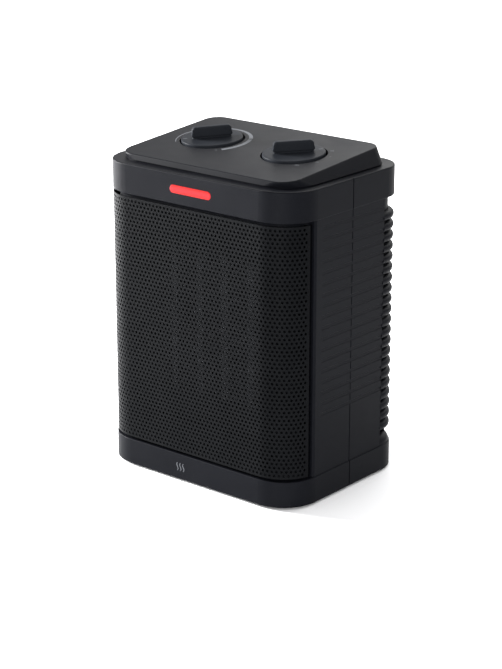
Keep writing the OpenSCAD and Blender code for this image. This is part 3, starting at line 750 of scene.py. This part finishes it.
    def wave(self, bm: bmesh.types.BMesh, place: Matrix, x: float, y: float) -> None:
        """Draws one small upright wave.

        Args:
            bm: the marks' mesh.
            place: the knob's frame.
            x: its middle across.
            y: its middle along.
        """
        steps = 8
        points = []
        for i in range(steps + 1):
            along = (i / steps - 0.5) * self.wave_height
            sway = self.wave_sway * math.sin(FULL_TURN * i / steps)
            points.append((x + sway, y + along))
        self.mark(bm, place, points, 0.18 * MM)

    def arc(self, bm: bmesh.types.BMesh, place: Matrix, start: float, end: float) -> None:
        """Draws one stretch of the arc, which thickens clockwise.

        Args:
            bm: the marks' mesh.
            place: the knob's frame.
            start: where it begins, in degrees.
            end: where it stops.
        """
        steps = max(6, int(abs(start - end) / 3))
        rings = []
        for k in range(steps + 1):
            turn = start + (end - start) * k / steps
            grown = (self.scale_start - turn) / (self.scale_start - self.scale_end)
            edges = [polar(low + rise * grown, turn) for low, rise in zip(self.scale_thin, self.scale_growth)]
            rings.append(ink_section(place, *edges))
        self.close_strip(bm, rings)

    def mark(
        self, bm: bmesh.types.BMesh, place: Matrix, points: Sequence[tuple[float, float]], half: float
    ) -> None:
        """Draws a thin printed line.

        Args:
            bm: the marks' mesh.
            place: the frame that the points are in.
            points: the line's middle, in order.
            half: half of its width.
        """
        rings = []
        for i, (x, y) in enumerate(points):
            before, after = points[max(i - 1, 0)], points[min(i + 1, len(points) - 1)]
            run = Vector((after[0] - before[0], after[1] - before[1]))
            side = Vector((-run.y, run.x)).normalized() * half
            rings.append(ink_section(place, (x - side.x, y - side.y), (x + side.x, y + side.y)))
        self.close_strip(bm, rings)

    def close_strip(self, bm: bmesh.types.BMesh, rings: Sequence[Sequence[Vector]]) -> None:
        """Lofts a strip of ink and closes its ends.

        Args:
            bm: the marks' mesh.
            rings: the strip's four-cornered sections.
        """
        made = loft(bm, rings)
        bm.faces.new(made[0])
        bm.faces.new(made[-1][::-1])


def ink_section(place: Matrix, a: tuple[float, float], b: tuple[float, float]) -> list[Vector]:
    """The four corners of a thin strip of ink that lies in a frame's own plane.

    Args:
        place: the frame.
        a: one edge of the strip, in X and Y.
        b: its other edge.

    Returns:
        The corners in order.
    """
    thin = INK_DEPTH
    return [place @ Vector(p) for p in ((*a, -thin), (*b, -thin), (*b, thin), (*a, thin))]


def polar(radius: float, degrees: float) -> tuple[float, float]:
    """A point on a circle round the origin.

    Args:
        radius: the circle's radius.
        degrees: the angle from X, anticlockwise.

    Returns:
        Its X and Y.
    """
    return radius * math.cos(math.radians(degrees)), radius * math.sin(math.radians(degrees))


def frame_top() -> float:
    """Height of the ledge that the panel stands on."""
    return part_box("rear_housing")[1].z


@dataclass
class Knob:
    """A rotary knob: a low disc in its well with an overhanging grip across it."""

    name: str
    node: str
    joint: str
    body: Body
    material: bpy.types.Material
    ink: bpy.types.Material
    pointer: float
    angle: float
    disc_r: float = 23.2 * MM
    proud: float = 1.6 * MM
    under: float = 5.2 * MM
    grip_len: float = 31.0 * MM
    grip_t: float = 5.4 * MM
    grip_low: float = 2.6 * MM
    grip_top: float = 10.4 * MM
    taper: float = 0.6 * MM
    soft: float = 1.2 * MM
    neck: tuple[float, float] = (14.6 * MM, 1.8 * MM)

    def build(self) -> None:
        """Models the knob and replaces the plain one."""
        place = joint_place(self.joint)
        bm = bmesh.new()
        self.disc(bm)
        turn = Matrix.Rotation(math.radians(self.angle), 4, "Z")
        self.grip(bm, turn)
        piece = finish_piece(self.name, bm, self.body, self.material, place)
        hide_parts(self.node)
        self.tick(place)

    def disc(self, bm: bmesh.types.BMesh) -> None:
        """Turns the disc with its rounded rim.

        Args:
            bm: the knob's mesh.
        """
        r, top = self.disc_r, self.proud
        profile = (
            (3.2 * MM, -self.under),
            (r - 0.6 * MM, -self.under),
            (r, -self.under + 0.6 * MM),
            (r, top - 1.0 * MM),
            (r - 0.12 * MM, top - 0.5 * MM),
            (r - 0.45 * MM, top - 0.14 * MM),
            (r - 1.0 * MM, top),
            (r - 3.0 * MM, top),
        )
        rings = loft(bm, [circle(radius, z, 96) for radius, z in profile])
        bm.faces.new(rings[-1])
        bm.faces.new(rings[0][::-1])

    def side_view(self, inset: float) -> list[tuple[float, float]]:
        """The grip's outline from the side, drawn in by an inset.

        Args:
            inset: how far it is drawn in.

        Returns:
            Points along the grip and up, anticlockwise.
        """
        half, low, top = self.grip_len / 2, self.grip_low, self.grip_top
        low_r, top_r = 1.6 * MM, 3.0 * MM
        corners = (
            (half - low_r, low + low_r, low_r, -90, 80),
            (half - self.taper - top_r, top - top_r, top_r, -10, 100),
            (-half + self.taper + top_r, top - top_r, top_r, 90, 100),
            (-half + low_r, low + low_r, low_r, 190, 80),
        )
        points = []
        for x, z, radius, start, sweep in corners:
            for k in range(7):
                turn = math.radians(start + sweep * k / 6)
                points.append((x + (radius - inset) * math.cos(turn), z + (radius - inset) * math.sin(turn)))
        return points

    def grip(self, bm: bmesh.types.BMesh, turn: Matrix) -> None:
        """Models the grip with soft rims and the narrow neck under it.

        Args:
            bm: the knob's mesh.
            turn: the grip's direction on the disc.
        """
        half = self.grip_t / 2
        layers = [
            (self.soft * (1 - math.sin(a)), half - self.soft * (1 - math.cos(a)))
            for a in (0.0, 0.5, 1.0, HALF_PI)
        ]
        rings = []
        for inset, across in layers:
            rings.append([turn @ Vector((x, -across, z)) for x, z in self.side_view(inset)])
        for inset, across in layers[::-1]:
            rings.append([turn @ Vector((x, across, z)) for x, z in self.side_view(inset)])
        made = loft(bm, rings)
        bm.faces.new(made[0])
        bm.faces.new(made[-1][::-1])
        length, thick = self.neck
        neck = plan_loop(length, -thick, thick, 0.95 * thick, 0.95 * thick, 6)
        heights = (self.proud - 0.5 * MM, self.proud + 0.4 * MM, self.grip_low + 0.5 * MM)
        spreads = (1.03, 1.0, 1.0)
        loft(
            bm,
            [[turn @ Vector((x * s, y * s, z)) for x, y in neck] for z, s in zip(heights, spreads)],
        )

    def tick(self, place: Matrix) -> None:
        """Prints the short pointer line near the disc's rim.

        Args:
            place: the knob's frame.
        """
        bm = bmesh.new()
        turn = Matrix.Rotation(math.radians(self.pointer), 4, "Z")
        x0, x1, half = 18.5 * MM, 21.5 * MM, 0.35 * MM
        low, high = self.proud - INK_DEPTH, self.proud + INK_DEPTH
        loop = [(x0, -half), (x1, -half), (x1, half), (x0, half)]
        made = loft(bm, [[turn @ Vector((x, y, z)) for x, y in loop] for z in (low, high)])
        bm.faces.new(made[0][::-1])
        bm.faces.new(made[-1])
        finish_piece(self.name + "_pointer", bm, self.body, self.ink, place)


# ---- the front grille ----


@dataclass
class Grille:
    """The bent sheet with staggered round holes that closes the front."""

    material: bpy.types.Material
    corner_r: float = 29.3 * MM
    pitch: float = 3.5 * MM
    hole_r: float = 1.03 * MM
    edge: float = 2.6 * MM
    rows: int = 61
    thickness: float = 0.8 * MM
    flange: float = 4.0 * MM
    hole_sides: int = 10

    def build(self) -> None:
        """Punches and bends the sheet, and replaces the plain one."""
        low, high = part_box("front_grille")
        self.low, self.high = low, high
        self.centre = Vector((high.x - self.corner_r, low.y + self.corner_r, 0.0))
        self.end_turn = math.acos((self.centre.y - high.y) / self.corner_r)
        self.centre_x = self.flat_half()
        bm = self.punch()
        piece = finish_piece("perforated_grille", bm, Body.HOUSING, self.material, sharp=40.0)
        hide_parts("front_grille")

    def flat_half(self) -> float:
        """Half of the sheet's flat width, from where its bends reach the end of the sheet."""
        widest = self.corner_r * math.sin(self.end_turn)
        return self.high.x - widest

    def point(self, along: float, z: float, depth: float) -> Vector:
        """Where a point of the flat sheet lies once it is bent.

        Args:
            along: distance from the sheet's middle, along its outer face.
            z: its height.
            depth: how far it lies behind the outer face.

        Returns:
            Its place in the model.
        """
        sign = 1.0 if along >= 0 else -1.0
        away = abs(along)
        flat = self.centre_x
        arc_end = flat + self.corner_r * self.end_turn
        radius = self.corner_r - depth
        if away <= flat:
            return Vector((along, self.low.y + depth, z))
        turn = min((away - flat) / self.corner_r, self.end_turn)
        x = flat + radius * math.sin(turn)
        y = self.low.y + self.corner_r - radius * math.cos(turn)
        if away > arc_end:
            x -= away - arc_end
            y = self.high.y - depth
        return Vector((sign * x, y, z))

    def punch(self) -> bmesh.types.BMesh:
        """Builds the sheet cell by cell, one hole to a cell.

        Returns:
            The mesh data of the bent sheet.
        """
        step = self.pitch / 2
        first_row = self.low.z + self.edge
        rise = (self.high.z - self.low.z - 2 * self.edge) / (self.rows - 1)
        width = 2 * (self.centre_x + self.corner_r * self.end_turn)
        columns = int((width - self.edge) / self.pitch - 0.5)
        half_steps = 2 * columns + 1
        margin = (width - half_steps * step) / 2
        edges_x = [-width / 2 + margin + i * step for i in range(half_steps + 1)]
        edges_z = [first_row + (j - 0.5) * rise for j in range(self.rows + 1)]
        bm = bmesh.new()
        points: dict[tuple[int, int, int], Any] = {}

        def corner(i: int, j: int, back: int) -> Any:
            """The shared vertex at a half step across and a row's edge."""
            key = (i, j, back)
            if key not in points:
                points[key] = bm.verts.new(self.point(edges_x[i], edges_z[j], back * self.thickness))
            return points[key]

        for j in range(self.rows):
            z = first_row + j * rise
            offset = j % 2
            for c in range(columns):
                i = 2 * c + offset
                cell = [(i, j), (i + 1, j), (i + 2, j), (i + 2, j + 1), (i + 1, j + 1), (i, j + 1)]
                x = edges_x[i + 1]
                rims = []
                for back in (0, 1):
                    rim = [
                        bm.verts.new(
                            self.point(
                                x + self.hole_r * math.cos(FULL_TURN * (k + 0.5) / self.hole_sides),
                                z + self.hole_r * math.sin(FULL_TURN * (k + 0.5) / self.hole_sides),
                                back * self.thickness,
                            )
                        )
                        for k in range(self.hole_sides)
                    ]
                    rims.append(rim)
                    outer = [corner(a, b, back) for a, b in cell]
                    spots = [(edges_x[a] - x, edges_z[b] - z) for a, b in cell]
                    self.web(bm, outer, rim, spots, back)
                for k in range(self.hole_sides):
                    n = (k + 1) % self.hole_sides
                    bm.faces.new((rims[0][k], rims[0][n], rims[1][n], rims[1][k]))
            left = 0 if offset else half_steps - 1
            spare = ((left, j), (left + 1, j), (left + 1, j + 1), (left, j + 1))
            for back in (0, 1):
                quad = [corner(a, b, back) for a, b in spare]
                bm.faces.new(quad if back == 0 else quad[::-1])
        self.borders(bm, edges_x, edges_z, points)
        return bm

    def web(
        self,
        bm: bmesh.types.BMesh,
        outer: Sequence[Any],
        rim: Sequence[Any],
        spots: Sequence[tuple[float, float]],
        back: int,
    ) -> None:
        """Fills the metal between a cell's edge and its hole.

        Args:
            bm: the sheet's mesh.
            outer: the cell's vertices.
            rim: the hole's vertices.
            spots: where the cell's vertices lie from the hole's middle.
            back: 1 on the sheet's inner face.
        """
        outer_turns = [math.atan2(z, x) % FULL_TURN for x, z in spots]
        rim_turns = [FULL_TURN * (k + 0.5) / len(rim) for k in range(len(rim))]
        start = min(range(len(outer)), key=lambda i: outer_turns[i])
        order = [(start + i) % len(outer) for i in range(len(outer))]
        a, b = 0, 0
        while a < len(order) or b < len(rim):
            next_a, next_b = order[(a + 1) % len(order)], (b + 1) % len(rim)
            turn_a = outer_turns[next_a] + (FULL_TURN if a + 1 >= len(order) else 0.0)
            turn_b = rim_turns[next_b] + (FULL_TURN if b + 1 >= len(rim) else 0.0)
            here_a, here_b = outer[order[a % len(order)]], rim[b % len(rim)]
            if b >= len(rim) or (a < len(order) and turn_a <= turn_b):
                tri = (here_a, outer[next_a], here_b)
                a += 1
            else:
                tri = (here_a, rim[next_b], here_b)
                b += 1
            bm.faces.new(tri if back == 0 else tri[::-1])

    def borders(
        self,
        bm: bmesh.types.BMesh,
        edges_x: Sequence[float],
        edges_z: Sequence[float],
        points: dict[tuple[int, int, int], Any],
    ) -> None:
        """Adds the plain borders round the holes and the turned-in ends.

        Args:
            bm: the sheet's mesh.
            edges_x: the cells' edges across.
            edges_z: the rows' edges.
            points: the shared vertices by place.
        """
        reach = self.centre_x + self.corner_r * self.end_turn
        last = len(edges_x) - 1
        ends = [reach, reach + self.thickness, reach + self.flange]
        columns = [*(-end for end in ends[::-1]), *edges_x, *ends]
        heights = [self.low.z, *edges_z, self.high.z]
        grid: dict[tuple[int, int, int], Any] = {}

        def vertex(c: int, r: int, back: int) -> Any:
            """The vertex at a border column and height, shared with the cells where they meet."""
            i, j = c - 3, r - 1
            if 0 <= i <= last and 0 <= j < len(edges_z):
                return points[(i, j, back)]
            key = (c, r, back)
            if key not in grid:
                grid[key] = bm.verts.new(self.point(columns[c], heights[r], back * self.thickness))
            return grid[key]

        for c in range(len(columns) - 1):
            for r in range(len(heights) - 1):
                holed = 3 <= c < 3 + last and 1 <= r < len(heights) - 2
                if holed:
                    continue
                for back in (0, 1):
                    spots = ((c, r), (c + 1, r), (c + 1, r + 1), (c, r + 1))
                    quad = [vertex(a, b, back) for a, b in spots]
                    bm.faces.new(quad if back == 0 else quad[::-1])
        for c in range(len(columns) - 1):
            for r in (0, len(heights) - 1):
                bm.faces.new((vertex(c, r, 0), vertex(c + 1, r, 0), vertex(c + 1, r, 1), vertex(c, r, 1)))
        for r in range(len(heights) - 1):
            for c in (0, len(columns) - 1):
                bm.faces.new((vertex(c, r, 0), vertex(c, r + 1, 0), vertex(c, r + 1, 1), vertex(c, r, 1)))


# ---- the indicator bar and the mark on the base ----


@dataclass
class Indicator:
    """The red light bar in the crown."""

    length: float = 38.8 * MM
    height: float = 6.0 * MM
    # The edge's inset and depth in millimetres: a soft rim, a plain wall and a flange behind the crown
    profile: tuple[tuple[float, float], ...] = (
        (0.9, 0.0),
        (0.35, 0.04),
        (0.1, 0.15),
        (0.0, 0.4),
        (0.0, 2.2),
        (-1.6, 2.7),
        (-1.6, 3.6),
    )

    def build(self) -> None:
        """Models the bar with a soft rim and replaces the plain one."""
        low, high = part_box("indicator_lens")
        centre = (low + high) / 2
        finish = LitLens("frosted red polycarbonate, lit", "#F01A14", "#E8323C", centre, self.height / 2)
        bm = bmesh.new()
        rings = [self.outline(centre, inset * MM, low.y + depth * MM) for inset, depth in self.profile]
        made = loft(bm, rings)
        bm.faces.new(made[0])
        bm.faces.new(made[-1][::-1])
        piece = finish_piece("light_bar", bm, Body.HOUSING, finish.make())
        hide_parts("indicator_lens")

    def outline(self, centre: Vector, inset: float, y: float) -> list[Vector]:
        """The bar's round-ended outline.

        Args:
            centre: its middle.
            inset: how far it is drawn in.
            y: its place in depth.

        Returns:
            The points in order.
        """
        half = self.height / 2 - inset
        corner = half - 0.01 * MM
        loop = plan_loop(self.length / 2 - inset, -half, half, corner, corner, 12)
        return [Vector((centre.x + x, y, centre.z + z)) for x, z in loop]


@dataclass
class BaseMark:
    """A plain heat sign on the base: three rising waves."""

    ink: bpy.types.Material
    x: float = -12.0 * MM
    z: float = 11.5 * MM
    height: float = 6.4 * MM
    spacing: float = 2.9 * MM
    half: float = 0.42 * MM

    def build(self) -> None:
        """Prints the sign on the base's front."""
        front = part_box("front_housing")[0].y
        bm = bmesh.new()
        for k in (-1, 0, 1):
            rings = []
            steps = 20
            for i in range(steps + 1):
                z = self.z + (i / steps - 0.5) * self.height
                x = self.x + k * self.spacing + 0.6 * MM * math.sin(FULL_TURN * i / steps)
                half = self.half * (0.55 + 0.45 * math.sin(math.pi * i / steps))
                rings.append(
                    [
                        Vector((x - half, front - INK_DEPTH, z)),
                        Vector((x + half, front - INK_DEPTH, z)),
                        Vector((x + half, front + INK_DEPTH, z)),
                        Vector((x - half, front + INK_DEPTH, z)),
                    ]
                )
            made = loft(bm, rings)
            bm.faces.new(made[0])
            bm.faces.new(made[-1][::-1])
        finish_piece("heat_sign", bm, Body.HOUSING, self.ink)


# ---- the heating element ----


@dataclass
class HeatingElement:
    """The aluminium heating rows behind the grille."""

    material: bpy.types.Material
    rows: int = 4
    row_w: float = 24.6 * MM
    tube_w: float = 6.0 * MM
    fold: float = 2.4 * MM
    sheet: float = 0.25 * MM

    def build(self) -> None:
        """Folds the fine fins and replaces the coarse ones."""
        low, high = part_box("ptc_fins")
        bm = bmesh.new()
        for row in range(self.rows):
            middle = (row - (self.rows - 1) / 2) * self.row_w
            for side in (-1, 1):
                inner = middle + side * self.tube_w / 2
                outer = middle + side * (self.row_w / 2 - self.sheet)
                self.strip(bm, inner, outer, low, high)
        for row in range(1, self.rows):
            x = (row - self.rows / 2) * self.row_w
            self.plate(bm, x, low, high)
        piece = finish_piece("folded_fins", bm, Body.HOUSING, self.material, sharp=30.0)
        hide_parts("ptc_fins")

    def strip(self, bm: bmesh.types.BMesh, inner: float, outer: float, low: Vector, high: Vector) -> None:
        """Folds one strip from side to side on its way up.

        Args:
            bm: the fins' mesh.
            inner: where it meets the tube.
            outer: where it meets the next row.
            low: the fins' lowest corner.
            high: the fins' highest corner.
        """
        folds = int((high.z - low.z) / self.fold) * 2
        step = (high.z - low.z - self.sheet) / folds
        rings = []
        for i in range(folds + 1):
            x = inner if i % 2 == 0 else outer
            z = low.z + i * step
            rings.append(
                [
                    Vector((x, low.y, z)),
                    Vector((x, high.y, z)),
                    Vector((x, high.y, z + self.sheet)),
                    Vector((x, low.y, z + self.sheet)),
                ]
            )
        made = loft(bm, rings)
        bm.faces.new(made[0])
        bm.faces.new(made[-1][::-1])

    def plate(self, bm: bmesh.types.BMesh, x: float, low: Vector, high: Vector) -> None:
        """Adds the thin sheet between two rows.

        Args:
            bm: the fins' mesh.
            x: its middle.
            low: the fins' lowest corner.
            high: the fins' highest corner.
        """
        half = self.sheet / 2
        loop = [(x - half, low.y), (x + half, low.y), (x + half, high.y), (x - half, high.y)]
        made = loft(bm, [[Vector((a, b, z)) for a, b in loop] for z in (low.z, high.z)])
        bm.faces.new(made[0][::-1])
        bm.faces.new(made[-1])


# ---- everything together ----

# Black ABS: the fine moulded grain gives a soft satin sheen and no clear reflection
SHELL = MouldedPlastic("black ABS, moulded with eroded grain", "#0D0E12", "#101115")
# The same ABS with a finer grain and less gloss; its colour is painted lighter than the shell's, which stands
# in for light on the grip faces
KNOB_PAINTED_LIGHTER = MouldedPlastic("black ABS, fine moulded", "#1E2024", "#222428", 0.42, 0.6 * MM, gloss=0.02)
# Pad-printed ink: flat light grey with a hint of the grain under it
INK = MouldedPlastic("light grey pad print", "#55575B", "#5C5E62", 0.5)
# Baked paint is an even black with small soft glints along the webs
SHEET = PowderCoat("steel sheet, black powder coat", "#08090B", "#0B0C0E")
# Aluminium that has been heated often is dull, so the rows only glimmer through the holes
ALUMINIUM = Metal("aluminium, rolled", "#5E6064", "#4E5054", 0.6)

# What each inner finish gives the eye stands above it
INSIDE: tuple[tuple[Finish, tuple[str, ...]], ...] = (
    # Flat grey ceramic with fine specks
    (Fired("barium titanate, fired", "#8B8A86", "#77756F", 0.7), ("ptc_stones",)),
    # Warm and bright
    (Metal("brass, stamped", "#C9A25A", "#A98645", 0.3), ("element_terminals",)),
    # Duller than the shell, so it stays dark behind the sheet
    (
        MouldedPlastic("dark heat-proof PBT, moulded", "#1B1C1E", "#202123", 0.55),
        ("air_duct", "element_frame", "fan_shroud", "tip_switch_body", "mode_switch_body"),
    ),
    # Greyer for the glass in it, with the fibres' dull face
    (MouldedPlastic("grey glass-filled nylon, moulded", "#3A3B3E", "#424347", 0.5), ("fan_impeller",)),
    # A warm off-white with a waxy sheen
    (
        MouldedPlastic("pale nylon, moulded", "#C9C2B0", "#D6D0C0", 0.5),
        ("thermostat_body", "terminal_block", "tip_plunger"),
    ),
    # The edges of the stack read as streaked dull grey
    (
        Metal("electrical steel, punched", "#7D7E80", "#5F6062", 0.45, along=(1.0, 8.0, 1.0)),
        ("motor_core", "motor_rotor"),
    ),
    # Lacquered wire shines in fine lines along each turn
    (
        Metal("enamelled copper, wound", "#B06A3C", "#8E4F2A", 0.35, 0.5 * MM, (1.0, 1.0, 6.0)),
        ("motor_coil",),
    ),
    # A cool light grey with fine streaks
    (
        Metal("steel, zinc plated", "#B9BABB", "#9B9C9D", 0.35),
        (
            "motor_bridges",
            "motor_shaft",
            "thermostat_shaft",
            "mode_switch_shaft",
            "thermal_fuse",
            "housing_screws",
            "motor_screws",
            "shroud_screws",
            "control_screws",
        ),
    ),
    # Off-white and faintly glossy
    (Fired("steatite, fired", "#DAD5C8", "#C9C3B2", 0.55), ("thermal_cutout",)),
    # Green lacquer over a woven sheet, with a low gloss
    (Fired("green resin board, laminated", "#1E4A33", "#27583E", 0.4), ("indicator_board",)),
    # Clear deep red with a hard gloss
    (Fired("red lamp glass, pressed", "#C0261C", "#A81E16", 0.2), ("indicator_lamps",)),
    # Soft matt white and red over the wires
    (
        Fired("white silicone sleeve, extruded", "#D2CFC6", "#C4C0B4", 0.5),
        ("mains_leads", "element_leads", "motor_leads"),
    ),
    (Fired("red silicone sleeve, extruded", "#8E1F1A", "#7B1915", 0.5), ("indicator_leads",)),
    # Takes almost all light and has no sheen
    (Fired("black rubber, moulded", "#101010", "#171717", 0.8), ("rubber_feet",)),
)


def build_outside() -> None:
    """Builds what shows from outside, with the element behind the sheet."""
    shell, knob, ink, aluminium = SHELL.make(), KNOB_PAINTED_LIGHTER.make(), INK.make(), ALUMINIUM.make()
    dress(shell, "front_housing", "rear_housing", "cord_gland")
    ControlPanel(shell, ink).build()
    left, right = Body.THERMOSTAT, Body.MODE
    Knob("thermostat_grip", "thermostat_knob", "thermostat_turn", left, knob, ink, 222.0, 48.0).build()
    Knob("mode_grip", "mode_knob", "mode_turn", right, knob, ink, 52.0, 43.0).build()
    Grille(SHEET.make()).build()
    Indicator().build()
    BaseMark(ink).build()
    HeatingElement(aluminium).build()
    dress(aluminium, "ptc_tubes")


def main() -> None:
    """Builds the scene piece by piece."""
    logging.basicConfig(level=logging.INFO, format="%(message)s")
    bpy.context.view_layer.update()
    Studio().build()
    build_outside()
    for finish, nodes in INSIDE:
        dress(finish.make(), *nodes)


if __name__ == "__main__":
    main()
